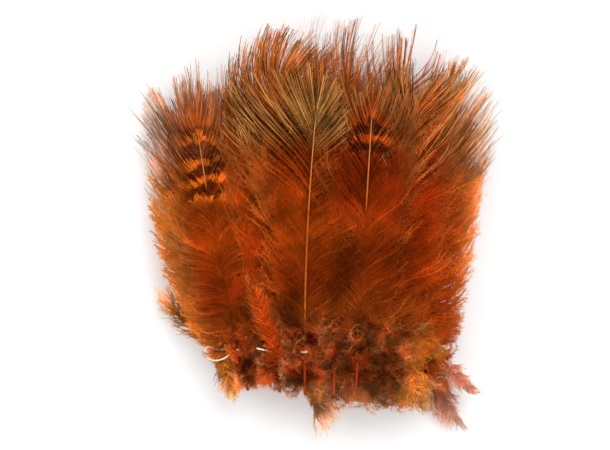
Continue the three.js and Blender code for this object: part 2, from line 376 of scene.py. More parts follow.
def ribbons(points, width, roll, numbers):
    """Ribbons along paths, as corners, quads, numbers for each corner and its place in a bake."""
    ahead, right = across(points)
    above = np.cross(right, ahead)
    roll = roll[:, None, None]
    edge = (right * np.cos(roll) + above * np.sin(roll)) * width[..., None] / 2
    corners = np.stack([points - edge, points + edge], 2)
    count, steps = points.shape[:2]
    first = (np.arange(count)[:, None] * steps + np.arange(steps - 1)) * 2
    quads = np.stack([first, first + 1, first + 3, first + 2], 2).reshape(-1, 4)
    values = {key: np.repeat(value[..., None], 2, 2).ravel() for key, value in numbers.items()}
    u0, v0, cell_u, cell_v = bake_cell(count)
    u = u0[:, None, None] + cell_u * CELL_ACROSS * np.ones((1, steps, 1))
    v = (v0[:, None] + cell_v * np.linspace(*CELL_ALONG, steps))[..., None] * np.ones((1, 1, 2))
    return corners.reshape(-1, 3), quads, values, np.stack([u.ravel(), v.ravel()], 1)


def at_share(values, barb, share):
    """Values along barbs, read at a share of their length."""
    spot = share * (STEPS - 1)
    low = np.minimum(spot.astype(int), STEPS - 2)
    part = spot - low
    if values.ndim == 3:
        part = part[:, None]
    return values[barb, low] * (1 - part) + values[barb, low + 1] * part


def barbules(rng, points, numbers, barbs, count):
    """Single triangles along the barbs. A barb gets its part by its length and its velvet."""
    weight = barbs["length"] * barbs["velvet"]
    barb = rng.choice(len(weight), count, p=weight / weight.sum())
    velvety = barbs["velvet_to"] - barbs["velvet_from"]
    share = barbs["velvet_from"][barb] + rng.uniform(0, 1, count) * velvety[barb]
    root = at_share(points, barb, share)
    ahead, right = across(points)
    ahead, right = at_share(ahead, barb, share), at_share(right, barb, share)
    hand = rng.choice([-1.0, 1.0], count)
    lean = np.radians(rng.uniform(*BARBULE_LEANS, count))
    length = barbs["barbule"][barb] * rng.uniform(*BARBULE_SIZES, count)
    point = ahead * np.cos(lean)[:, None] + right * (hand * np.sin(lean))[:, None]
    point[:, 2] += rng.uniform(*BARBULE_RISES, count)
    point = root + point * length[:, None]
    foot = ahead * (BARBULE_FOOT * rng.uniform(0.7, 1.3, count))[:, None]
    back, fore = root - foot, root + foot
    swap = hand[:, None] > 0
    corners = np.stack([back, np.where(swap, point, fore), np.where(swap, fore, point)], 1)
    values = {}
    for key, value in numbers.items():
        here = at_share(value, barb, share)
        if key == "fate":
            here = np.clip(here + rng.normal(0, 0.25, count), 0, 1)
        values[key] = np.repeat(here[:, None], 3, 1)
    tip_is = np.where(hand > 0, 1, 2)
    values["fuzz"][np.arange(count), tip_is] = 1
    u0, v0, cell_u, cell_v = bake_cell(len(weight))
    u = u0[barb][:, None] + cell_u * np.array([0.35, 0.5, 0.65])
    v = (v0[barb] + cell_v * share)[:, None] + cell_v * np.array([-0.02, 0.02, -0.02])
    triangles = np.arange(3 * count).reshape(-1, 3)
    values = {key: value.ravel() for key, value in values.items()}
    return corners.reshape(-1, 3), triangles, values, np.stack([u.ravel(), v.ravel()], 1)


# %% [markdown]
# ## Shafts
# The shaft is the one round, firm part of a feather. It is a six-sided tube that tapers from the cut end of
# the quill to a hair near the tip, closed at both ends. Three quills stand up out of the down at their cut
# ends. A tube swept along a curve object would look the same, but it couldn't be joined to the barbs' arrays.

# %% Round tubes
TUBE_SIDES = 6
QUILL_RADIUS = 0.4
SHAFT_TIP_RADIUS = 0.12
SHAFT_POINTS = 22
QUILL_PAST_THREAD = 11
PLUME_QUILL_PAST_THREAD = 4
RAISED_QUILLS = {"hackle_17": 5.5, "hackle_20": 1.5, "hackle_21": 1.1}  # mm that their cut ends stand up
RAISED_FROM = 2  # mm from the thread towards the tip, where such a quill begins to rise
RAISED_OVER = 8  # mm of quill on which it does
BAKE_ROUND = 0.9  # share of a sheet's width that a tube's sides fill


def tube(path, radius):
    """A closed tube along a path, as corners, quads and two end faces."""
    ahead = np.gradient(path, axis=0)
    ahead /= np.linalg.norm(ahead, axis=1, keepdims=True)
    right = np.stack([ahead[:, 1], -ahead[:, 0], np.zeros(len(path))], 1)
    right /= np.linalg.norm(right, axis=1, keepdims=True)
    above = np.cross(right, ahead)
    turn = np.arange(TUBE_SIDES) / TUBE_SIDES * 2 * np.pi
    ring = right[:, None] * np.cos(turn)[None, :, None] + above[:, None] * np.sin(turn)[None, :, None]
    corners = path[:, None] + ring * np.asarray(radius)[:, None, None]
    side = np.arange(TUBE_SIDES)
    ring_start = np.arange(len(path) - 1)[:, None] * TUBE_SIDES
    first = ring_start + side
    second = ring_start + (side + 1) % TUBE_SIDES
    quads = np.stack([second, first, first + TUBE_SIDES, second + TUBE_SIDES], 2).reshape(-1, 4)
    ends = np.array([side, len(path) * TUBE_SIDES - 1 - side])
    return corners.reshape(-1, 3), quads, ends


def shaft_path(shaft, place, start):
    """Points along a shaft on the pile, its radius there, and mm along it from the thread."""
    along = np.linspace(start, shaft.length, SHAFT_POINTS)
    x, y = shaft.lay(0.0, along)
    share = np.clip(along / shaft.length, 0, 1)
    radius = QUILL_RADIUS + (SHAFT_TIP_RADIUS - QUILL_RADIUS) * share
    z = pile_height(place, x, y) + np.maximum(0.5, radius)
    z += RAISED_QUILLS.get(FEATHERS[place][0], 0) * ease((RAISED_FROM - along) / RAISED_OVER)
    return np.stack([x, y, z], 1), radius, along


# %% [markdown]
# ## Meshes
# The corners and faces of one feather are joined into one mesh with its numbers as attributes. Arrays are
# written straight into the mesh, because adding a million faces one at a time would take minutes.

# %% Arrays into a mesh
TABLE_CLEARANCE = 0.02  # mm, so that nothing dips into the table


def make_piece(name, parts, materials):
    """A mesh from parts of (corners in mm, list of faces, numbers, bake map, material number)."""
    corners = np.concatenate([part[0] for part in parts])
    sizes, around, paints, maps = [], [], [], []
    offset = 0
    for points, faces, _, bake_map, paint in parts:
        for group in faces:
            sizes.append(np.full(len(group), group.shape[1]))
            around.append((group + offset).ravel())
            paints.append(np.full(len(group), paint))
            maps.append(bake_map[group.ravel()])
        offset += len(points)
    sizes, around, paints = np.concatenate(sizes), np.concatenate(around), np.concatenate(paints)
    corners[:, 2] = np.maximum(corners[:, 2], TABLE_CLEARANCE)
    mesh = bpy.data.meshes.new(name)
    mesh.vertices.add(len(corners))
    mesh.vertices.foreach_set("co", ((corners - (MIDDLE_X, MIDDLE_Y, 0)) * MM).ravel().astype(np.float32))
    mesh.loops.add(len(around))
    mesh.loops.foreach_set("vertex_index", around.astype(np.int32))
    mesh.polygons.add(len(sizes))
    mesh.polygons.foreach_set("loop_start", (np.cumsum(sizes) - sizes).astype(np.int32))
    mesh.polygons.foreach_set("loop_total", sizes.astype(np.int32))
    mesh.polygons.foreach_set("material_index", paints.astype(np.int32))
    mesh.polygons.foreach_set("use_smooth", np.ones(len(sizes), bool))
    for key in CORNER_NUMBERS:
        values = np.concatenate([part[2].get(key, np.zeros(len(part[0]))) for part in parts])
        mesh.attributes.new(key, "FLOAT", "POINT").data.foreach_set("value", values.astype(np.float32))
    mesh.uv_layers.new(name="OFBake").data.foreach_set("uv", np.concatenate(maps).ravel().astype(np.float32))
    mesh.update(calc_edges=True)
    mesh.validate()
    for material in materials:
        mesh.materials.append(material)
    piece = bpy.data.objects.new(name, mesh)
    bpy.context.scene.collection.objects.link(piece)
    return piece, int((sizes - 2).sum())


# %% [markdown]
# ## Finishes
# Dyed feathers keep their own markings under the dye: olive tips, dark bands and rusty bars. A picture could
# carry them, but here they are rules. The colour follows how far a spot is from the tip of its feather, and
# each barb and bundle is a bit darker or lighter than the next. Light passes through thin barbs, so part of
# the finish is translucent, and the barbules give a soft sheen. Some light and shade is painted into the
# colour as well: shade in the hollows between the feathers and at the roots of the barbs, and a glow of
# light through the soft sides of the vanes.

# %% Helpers for finishes
BUMP_DEPTH = 0.1 * MM


def dye(red, green, blue):
    """A colour given as it looks on a screen, as Blender wants it."""
    parts = [c / 255 for c in (red, green, blue)]
    return *(((c + 0.055) / 1.055) ** 2.4 if c > 0.04 else c / 12.92 for c in parts), 1


class Finish:
    """Short ways to add nodes to a new material."""

    def __init__(self, name):
        self.material = bpy.data.materials.new(name)
        self.material.use_nodes = True
        self.tree = self.material.node_tree
        self.tree.nodes.clear()

    def add(self, kind, inputs=(), **settings):
        node = self.tree.nodes.new(kind)
        for key, value in settings.items():
            setattr(node, key, value)
        for key, value in dict(inputs).items():
            if isinstance(value, bpy.types.NodeSocket):
                self.tree.links.new(value, node.inputs[key])
            else:
                node.inputs[key].default_value = value
        return node

    def number(self, name):
        return self.add("ShaderNodeAttribute", attribute_name=name).outputs["Fac"]

    def place(self):
        return self.add("ShaderNodeTexCoord").outputs["Object"]

    def maths(self, operation, *values):
        return self.add("ShaderNodeMath", dict(enumerate(values)), operation=operation).outputs[0]

    def product(self, *values):
        result = values[0]
        for value in values[1:]:
            result = self.maths("MULTIPLY", result, value)
        return result

    def vector_maths(self, operation, *values, output="Vector"):
        return self.add("ShaderNodeVectorMath", dict(enumerate(values)), operation=operation).outputs[output]

    def span(self, value, low, high, to_low=0.0, to_high=1.0, kind="SMOOTHSTEP"):
        inputs = {"Value": value, "From Min": low, "From Max": high, "To Min": to_low, "To Max": to_high}
        return self.add("ShaderNodeMapRange", inputs, interpolation_type=kind).outputs["Result"]

    def blend(self, share, one, other, kind="MIX"):
        node = self.add("ShaderNodeMix", {"Factor": share}, data_type="RGBA", blend_type=kind)
        for socket, value in ((node.inputs[6], one), (node.inputs[7], other)):
            if isinstance(value, bpy.types.NodeSocket):
                self.tree.links.new(value, socket)
            else:
                socket.default_value = value
        return node.outputs[2]

    def ramp(self, value, stops):
        node = self.add("ShaderNodeValToRGB", {"Fac": value})
        while len(node.color_ramp.elements) < len(stops):
            node.color_ramp.elements.new(0.5)
        for element, (position, colour) in zip(node.color_ramp.elements, stops):
            element.position = position
            element.color = colour
        return node.outputs["Color"]

    def noise(self, scale, detail=2.0, where=None):
        inputs = {"Scale": scale, "Detail": detail, "Vector": self.place() if where is None else where}
        return self.add("ShaderNodeTexNoise", inputs).outputs["Fac"]

    def bump(self, height, strength):
        inputs = {"Height": height, "Strength": strength, "Distance": BUMP_DEPTH}
        return self.add("ShaderNodeBump", inputs).outputs[0]

    def surface(self, **inputs):
        inputs = {key.replace("_", " "): value for key, value in inputs.items()}
        return self.add("ShaderNodeBsdfPrincipled", inputs).outputs[0]

    def done(self, surface):
        self.add("ShaderNodeOutputMaterial", {"Surface": surface})
        return self.material


# %% [markdown]
# ## The plumage finish
# One recipe makes every look from its own palette: the colours from the tip of the feather down to its down,
# the colour of the free ends, and the bars where there are any. Some things are the same for all: the browns
# of the down, which is paler along the lower edge, and the painted shade in the hollows, where little light
# gets in.

# %% Plumage
ZONE_REACH = 80.0  # mm from the tip that the colours are given for
DOWN_FROM = 66  # mm from the tip of a hackle
DOWN_OVER = 8  # mm on which the vane's colours turn into those of the down
WANDER = 7.0  # mm that the borders of the zones wander, and more from barb to barb
JITTER = 1.4
RIPPLE = 3.0  # mm that the edges of the bars wander
ZONE_NOISE, BAR_NOISE, PATCH_NOISE, TUFT_NOISE = 140.0, 420.0, 110.0, 240.0  # spots of noise in a metre
# Painted glow: the colour that the soft sides of a vane turn towards, standing in for light shining through
# them.
PAINTED_GLOW_COLOUR = (230, 148, 62)
DOWN_ENDS = (206, 110, 50)
PALE_DOWN_ENDS = (248, 194, 132)
FRINGE = (214, 134, 72)
FRINGE_FROM, FRINGE_TO = -5.5, -10.5  # mm from the thread, where the down along the lower edge turns paler
DOWN_BROWNS = [
    (0.0, (78, 18, 5)), (0.2, (158, 44, 10)), (0.4, (190, 70, 17)), (0.55, (208, 112, 40)),
    (0.7, (196, 60, 15)), (0.85, (214, 108, 48)), (1.0, (104, 30, 8)),
]
# Painted shade: the colour is darkened round these spots, where the feathers part and little light gets in.
PAINTED_SHADE_HOLLOWS = [  # deep places between the feathers: x and y of the middle, reach along x and y in mm, shade
    (8.1, 21.3, 4.5, 10.5, 0.48),
    (-6, 12.5, 4.5, 6, 0.55),
    (12, 12, 24, 36, 0.66),
    (7.5, -5, 3.5, 11, 0.6),
    (20, -4, 3.5, 10, 0.6),
    (-11.3, -8, 6.5, 4.5, 0.8),
    (-25, 9.5, 11, 8, 0.76),
]


def plumage(name, zones, ends, bars=None, contrast=0.35, hair=0.9, clear=0.35, glow=0.3, inky=0.42,
            pale_to=28, fair=0.35, painted_glow_from=6):
    """Zones are (mm from the tip, colour). Bars are start, stop, pitch, width, reach and two colours."""
    f = Finish(name)
    tip, out = f.number("tip_mm"), f.number("out_share")
    stiff, fate, bundle = f.number("stiff"), f.number("fate"), f.number("bundle_fate")

    # The borders between the zones are uneven from barb to barb.
    wander = f.maths("MULTIPLY_ADD", f.noise(ZONE_NOISE), WANDER, -WANDER / 2)
    jitter = f.maths("MULTIPLY_ADD", fate, JITTER, -JITTER / 2)
    tip = f.maths("ADD", tip, f.maths("ADD", wander, jitter))
    side = f.number("side_mm")
    colour = f.ramp(f.maths("DIVIDE", tip, ZONE_REACH), [(mm / ZONE_REACH, dye(*c)) for mm, c in zones])
    if bars:
        start, stop, pitch, width, reach, bar, ground = bars
        ripple = f.maths("MULTIPLY_ADD", f.noise(BAR_NOISE, 1.0), RIPPLE, -RIPPLE / 2)
        turn = f.maths("MULTIPLY", f.maths("ADD", tip, ripple), 2 * math.pi / pitch)
        band = f.span(f.maths("SINE", turn), width - 0.18, width + 0.18)
        window = f.product(
            f.span(tip, start - 1, start + 1),
            f.span(tip, stop - 1, stop + 1, 1, 0),
            f.span(side, reach - 1.5, reach + 1.5, 1, 0),
        )
        colour = f.blend(window, colour, f.blend(band, dye(*ground), dye(*bar)))

    # The down round the quill is of many browns with pale ends. The soft vane gets a painted glow at its
    # sides, standing in for light that shines through the thin barbs there.
    softness = f.maths("SUBTRACT", 1.0, stiff)
    browns = f.ramp(bundle, [(position, dye(*c)) for position, c in DOWN_BROWNS])
    downy = f.span(tip, DOWN_FROM, DOWN_FROM + DOWN_OVER)
    colour = f.blend(downy, colour, browns)
    down_ends = f.blend(f.span(bundle, 0.74, 0.8), dye(*DOWN_ENDS), dye(*PALE_DOWN_ENDS))
    colour = f.blend(f.product(downy, f.span(out, 0.35, 0.9, 0, 0.65)), colour, down_ends)
    level = f.add("ShaderNodeSeparateXYZ", {"Vector": f.place()}).outputs["Y"]
    low = f.span(level, (FRINGE_TO - MIDDLE_Y) * MM, (FRINGE_FROM - MIDDLE_Y) * MM, 0.6, 0)
    colour = f.blend(f.product(downy, low), colour, dye(*FRINGE))
    painted_glow_share = f.product(f.span(side, painted_glow_from, painted_glow_from + 9), softness)
    colour = f.blend(f.product(painted_glow_share, glow), colour, dye(*PAINTED_GLOW_COLOUR))

    # Free ends are paler than the vane, and so are whole barbs here and there.
    pale = f.product(f.span(out, 0.5, 0.95), stiff, f.span(tip, pale_to - 6, pale_to, 1, 0))
    colour = f.blend(pale, colour, dye(*ends))
    fair_hair = f.product(f.span(fate, 0.76, 0.8), stiff, f.span(tip, pale_to - 5, pale_to + 3, 1, 0), fair)
    colour = f.blend(fair_hair, colour, dye(*ends))

    # Each bundle, each barb and each stretch of a barb is darker or lighter, stiff barbs most of all. Painted
    # shade darkens the roots of the barbs and the hollows, and a painted glow lightens the soft sides.
    where = f.add("ShaderNodeCombineXYZ", {"X": f.product(out, 9.0), "Y": f.product(fate, 90.0)})
    streak = f.noise(1.0, 2.0, where.outputs[0])
    patch = f.noise(PATCH_NOISE, 3.0)
    apart = f.maths("MULTIPLY_ADD", stiff, hair - 0.3, 0.3)
    dark_hair = f.product(f.span(fate, 0.3, 0.36, 1, 0), stiff)
    tufts = f.span(f.noise(TUFT_NOISE, 2.0), 0.4, 0.62, -0.5, 0.3)
    light_hair = f.product(f.span(fate, 0.9, 0.94), softness)
    shade = f.product(
        f.maths("MULTIPLY_ADD", bundle, contrast, 1 - contrast / 2),
        f.maths("MULTIPLY_ADD", f.maths("SUBTRACT", fate, 0.5), apart, 1.0),
        f.maths("MULTIPLY_ADD", streak, 0.7, 0.65),
        f.span(patch, 0.32, 0.68, 0.62, 1.3, "LINEAR"),
        # Painted shade where the barbs leave the shaft, darkest at their roots.
        f.span(out, 0, 0.15, 0.75, 1),
        f.maths("MULTIPLY_ADD", f.number("fuzz"), 0.25, 1.0),
        # Painted glow: the soft sides are lighter.
        f.maths("MULTIPLY_ADD", painted_glow_share, 0.25 * glow, 1.0),
        f.maths("MULTIPLY_ADD", dark_hair, -inky, 1.0),
        f.maths("MULTIPLY_ADD", tufts, downy, 1.0),
        f.maths("MULTIPLY_ADD", light_hair, 0.4, 1.0),
    )
    # Painted shade in the hollows between the feathers.
    for x, y, reach_x, reach_y, deepest in PAINTED_SHADE_HOLLOWS:
        away = f.vector_maths("SUBTRACT", f.place(), ((x - MIDDLE_X) * MM, (y - MIDDLE_Y) * MM, 0))
        away = f.vector_maths("MULTIPLY", away, (1 / (reach_x * MM), 1 / (reach_y * MM), 0))
        away = f.maths("MULTIPLY_ADD", patch, 0.8, f.vector_maths("LENGTH", away, output="Value"))
        shade = f.product(shade, f.span(away, 0.7, 1.7, deepest, 1.0))
    grey = f.add("ShaderNodeCombineColor", dict.fromkeys((0, 1, 2), shade)).outputs[0]
    colour = f.blend(1.0, colour, grey, "MULTIPLY")

    surface = f.surface(
        Base_Color=colour,
        Roughness=f.maths("MULTIPLY_ADD", streak, 0.25, 0.5),
        Normal=f.bump(streak, 0.3),
        Specular_IOR_Level=0.1,
        Specular_Tint=dye(255, 160, 90),
        Sheen_Weight=0.08,
        Sheen_Roughness=0.4,
        Sheen_Tint=dye(255, 130, 40),
    )
    through = f.add("ShaderNodeBsdfTranslucent", {"Color": colour}).outputs[0]
    share = f.maths("MULTIPLY_ADD", painted_glow_share, 0.1 * glow, clear)
    return f.done(f.add("ShaderNodeMixShader", {0: share, 1: surface, 2: through}).outputs[0])


QUILL_END = [(58, (184, 66, 12)), (66, (178, 78, 18)), (74, (166, 84, 26)), (80, (120, 46, 12))]
# A look is its zones, the colour of its free ends, and what else sets it apart.
HACKLE_LOOKS = {
    "olive": ([
        (0, (206, 122, 58)), (5, (196, 118, 56)), (10, (190, 134, 66)), (16, (172, 122, 58)),
        (21, (146, 86, 32)), (25, (140, 56, 12)), (31, (170, 62, 9)), (38, (186, 72, 10)),
        (48, (190, 78, 13)),
    ], (208, 146, 82), dict(hair=1.5, inky=0.6, pale_to=24, fair=0.6)),
    "red": ([
        (0, (206, 112, 48)), (8, (186, 84, 26)), (15, (144, 54, 10)), (24, (104, 32, 4)),
        (33, (168, 52, 6)), (46, (188, 70, 11)),
    ], (206, 126, 74), dict(glow=0.5)),
    "pale": ([
        (0, (222, 176, 144)), (7, (204, 142, 104)), (12, (184, 104, 54)), (20, (134, 54, 12)),
        (26, (114, 38, 6)), (34, (166, 56, 8)), (46, (194, 80, 16)),
    ], (228, 186, 156), dict(hair=0.7, glow=0.9, inky=0.3, painted_glow_from=3)),
    "barred": ([
        (0, (206, 124, 70)), (7, (194, 98, 38)), (14, (202, 96, 28)), (24, (206, 98, 24)),
        (37, (178, 70, 11)), (46, (182, 72, 12)),
    ], (186, 116, 72), dict(bars=(15, 34, 5.4, 0.3, 5.5, (242, 124, 30), (116, 44, 12)), hair=1.2,
                            glow=0.8, inky=0.25, painted_glow_from=4)),
    "orange": ([
        (0, (218, 146, 84)), (5, (208, 116, 44)), (10, (202, 100, 28)), (18, (190, 84, 16)),
        (26, (146, 54, 8)), (34, (172, 60, 8)), (46, (190, 76, 13)),
    ], (212, 128, 58), {}),
    "spiky": ([
        (0, (200, 122, 62)), (7, (186, 96, 36)), (14, (188, 88, 24)), (20, (182, 74, 16)),
        (26, (166, 56, 8)), (34, (180, 56, 7)), (46, (190, 66, 10)),
    ], (214, 150, 82), dict(hair=1.6, pale_to=34, fair=0.7)),
    "cream": ([
        (0, (206, 140, 78)), (7, (184, 104, 42)), (13, (170, 84, 28)), (19, (158, 72, 18)),
        (26, (150, 54, 10)), (34, (180, 62, 9)), (46, (194, 80, 15)),
    ], (212, 150, 88), dict(hair=1.5, glow=0.9, pale_to=31, fair=0.5, painted_glow_from=5)),
    "chevron": ([
        (0, (206, 136, 70)), (8, (178, 90, 28)), (15, (168, 78, 20)), (20, (156, 60, 12)),
        (32, (156, 48, 7)), (37, (166, 54, 9)), (46, (180, 68, 13)),
    ], (196, 122, 64), dict(bars=(18, 29, 5.6, 0.2, 5.5, (204, 78, 15), (88, 26, 6)))),
}
PLUME_LOOKS = {
    "gold_plume": ([
        (0, (240, 184, 116)), (5, (222, 146, 68)), (10, (208, 124, 42)), (22, (196, 110, 36)),
        (40, (184, 98, 30)),
    ], (218, 146, 64), dict(contrast=0.8)),
    "orange_plume": ([
        (0, (222, 108, 34)), (10, (214, 84, 20)), (22, (200, 68, 12)), (40, (160, 48, 8)),
    ], (220, 130, 56), dict(contrast=0.5)),
    "pink_plume": ([
        (0, (230, 184, 158)), (7, (208, 146, 118)), (14, (188, 110, 78)), (24, (164, 72, 36)),
    ], (230, 190, 168), dict(contrast=0.3, inky=0.2, clear=0.4)),
    "peach_plume": ([
        (0, (255, 206, 160)), (8, (250, 170, 108)), (16, (226, 128, 64)), (26, (186, 84, 28)),
    ], (255, 214, 174), dict(contrast=0.3, inky=0.0, clear=0.6)),
}
plumages = {}
for look, (zones, ends, habits) in HACKLE_LOOKS.items():
    plumages[look] = plumage(look + "_hackle", zones + QUILL_END, ends, **habits)
for look, (zones, ends, habits) in PLUME_LOOKS.items():
    plumages[look] = plumage(look, zones, ends, **habits)
print("plumage looks:", len(plumages))

# %% [markdown]
# ## The finish of the shafts and the thread
# A shaft is a smooth horn, glossier than the vane. The dye goes deepest into the quill, and on the feathers
# that lie in front the shaft is paler towards its tip. The thread is plain undyed cotton.

# %% Shafts and thread
HORN_PLACES = (0.15, 0.24, 0.65, 1.0)  # shares of a shaft: the quill up to here, the middle, and the tip


def horn(name, quill, middle, end):
    """A shaft's finish from the colours of its quill, its middle and its end."""
    f = Finish(name)
    stops = zip(HORN_PLACES, (quill, middle, middle, end))
    tone = f.ramp(f.number("out_share"), [(share, dye(*colour)) for share, colour in stops])
    grain = f.noise(900.0, 3.0)
    return f.done(f.surface(
        Base_Color=f.blend(f.product(grain, 0.5), tone, dye(*[0.6 * c for c in middle])),
        Roughness=f.maths("MULTIPLY_ADD", grain, 0.2, 0.25),
        Normal=f.bump(grain, 0.2),
        Specular_IOR_Level=0.2,
        Specular_Tint=dye(255, 190, 130),
    ))


def cotton():
    f = Finish("cotton_thread")
    fibre = f.noise(2500.0, 3.0)
    tone = f.ramp(fibre, [(0.3, dye(226, 202, 158)), (0.6, dye(252, 242, 214))])
    return f.done(f.surface(
        Base_Color=tone,
        Roughness=f.maths("MULTIPLY_ADD", fibre, 0.2, 0.7),
        Normal=f.bump(fibre, 0.5),
        Sheen_Weight=0.3,
    ))


shaft_bright = horn("bright_shaft", (160, 44, 20), (214, 104, 28), (228, 154, 88))
shaft_dark = horn("dark_shaft", (182, 58, 30), (150, 52, 10), (110, 40, 8))
thread_finish = cotton()

# %% [markdown]
# ## Rows of barbs
# Down, vanes and plumes are all rows of barbs, and each barb has some twenty numbers: where it grows, how it
# leans and waves, how wide it is. A class for a barb would read well, but it would be slow for thousands of
# them. So a row is a set of arrays, which can be joined to another row. Then each barb draws its fate.

# %% Rows of barbs
def numbers_of(barbs, out, up, shaft, arch_radius):
    """The numbers for the colours at each point of each barb. The bands across a vane are arcs."""
    numbers = {
        "tip_mm": shaft.reach - (up + out ** 2 / (2 * arch_radius)),
        "side_mm": np.abs(out),
        "out_share": np.tile(np.linspace(0, 1, STEPS), (len(out), 1)),
        "fuzz": np.zeros(out.shape),
    }
    for key in ("stiff", "fate", "bundle_fate"):
        numbers[key] = np.repeat(barbs[key][:, None], STEPS, 1)
    return numbers


def every_barb(**numbers):
    """The numbers of a row of barbs, where those that are the same for all of them are given once."""
    count = len(numbers["root"])
    return {key: value if np.ndim(value) else np.full(count, float(value)) for key, value in numbers.items()}


def join_barbs(*groups):
    """One row of barbs from several, whose bundles keep apart."""
    joined = {key: np.concatenate([group[key] for group in groups]) for key in groups[0]}
    shift, bundles = 0, []
    for group in groups:
        bundles.append(group["bundle"] + shift)
        shift += group["bundle"].max() + 1
    joined["bundle"] = np.concatenate(bundles)
    return joined


def fated(rng, barbs):
    """Barbs with the numbers that make each one, and each bundle, lighter or darker."""
    barbs["fate"] = rng.uniform(0, 1, len(barbs["root"]))
    barbs["bundle_fate"] = rng.uniform(0, 1, barbs["bundle"].max() + 1)[barbs["bundle"]]
    return barbs


# %% [markdown]
# ## Down
# Curly down grows round the quill. It has no hooks that would close it into a vane, so its barbs wave as they
# like. Some hang over the thread as a skirt, and loose curls rise beside the quill and fall back over it.
# Grown hair would be quicker to make, but only mesh goes along when the bunch is used in another scene.

# %% The skirt and the curls
DOWN_BUNDLES = (4, 9)  # the fewest and the most barbs of down that cling together
CURL_LENGTHS = (5, 10)  # mm
CURL_LEANS = (20, 150)  # degrees from the way the shaft points


def down_skirt(rng, gap, loft):
    """Curly down that hangs round the quill and over the thread."""
    root, side = comb(rng, SKIRT_ROOTS[0], SKIRT_ROOTS[-1] + 3, gap)
    lean = np.interp(root, SKIRT_ROOTS, SKIRT_LEANS) + rng.normal(0, 16, len(root))
    return every_barb(
        root=root, side=side, beside=0, over=0.4, stray=0.5, straight=0, finish=0.5, cling=0.5,
        part=0.6, loft=0.5, wide=0.26, thin=0.08, closed=0.3, stiff=0, velvet=2.2, velvet_from=0.05,
        velvet_to=0.99, barbule=1.2,
        length=np.interp(root, SKIRT_ROOTS, SKIRT_LENGTHS) * rng.uniform(0.6, 1.15, len(root)),
        lean=np.radians(lean),
        sweep=rng.normal(0, 0.5, len(root)),
        wave=rng.uniform(0.1, 0.5, len(root)),
        waves=rng.uniform(0.6, 1.3, len(root)),
        arch=loft * rng.uniform(0.3, 1.0, len(root)),
        bundle=bundle_up(rng, side, *DOWN_BUNDLES),
    )


def curls(rng, start, end, gap, loft):
    """Loose down that rises beside the quill and curls back over it, so that quill and thread hide in it."""
    barbs = down_skirt(rng, gap, loft)
    root, side = comb(rng, start, end, gap)
    count = len(root)
    barbs = {key: np.resize(value, count) for key, value in barbs.items()}
    barbs["root"], barbs["side"] = root, side
    barbs["length"] = rng.uniform(*CURL_LENGTHS, count)
    barbs["lean"] = np.radians(rng.uniform(*CURL_LEANS, count))
    barbs["sweep"] = -side * rng.uniform(0.6, 2.2, count)
    barbs["beside"] = side * rng.uniform(-0.6, 1.3, count)
    barbs["over"] = rng.uniform(0.5, 1.0, count)
    barbs["arch"] = loft * rng.uniform(0.6, 1.1, count)
    barbs["bundle"] = bundle_up(rng, side, *DOWN_BUNDLES)
    return barbs


# %% [markdown]
# ## The vane
# Low on the shaft of a hackle the barbs are soft and cross it, so that it is hidden. Higher up they are stiff
# and leave it bare. Each number of a barb follows from its place on the shaft, and a feather's habits change
# how far it leans, how it bends and how closely the barbs cling.

# %% The vane of a hackle
LEAN_HEIGHTS = (0.3, 0.5, 0.72)  # shares of the shaft for the three leans of a habit
STIFF_FROM = 0.5  # share of the shaft where the barbs begin to be stiff
STIFF_OVER = 0.22  # and the share on which they change
SOFT_TO = 0.32
BARE_OVER = 0.08
FLARE_OVER = 0.17
LEVEL = 0.34  # mm above the feather below, and how much more where the barbs cross the shaft
COVERED_ABOVE = 0.62


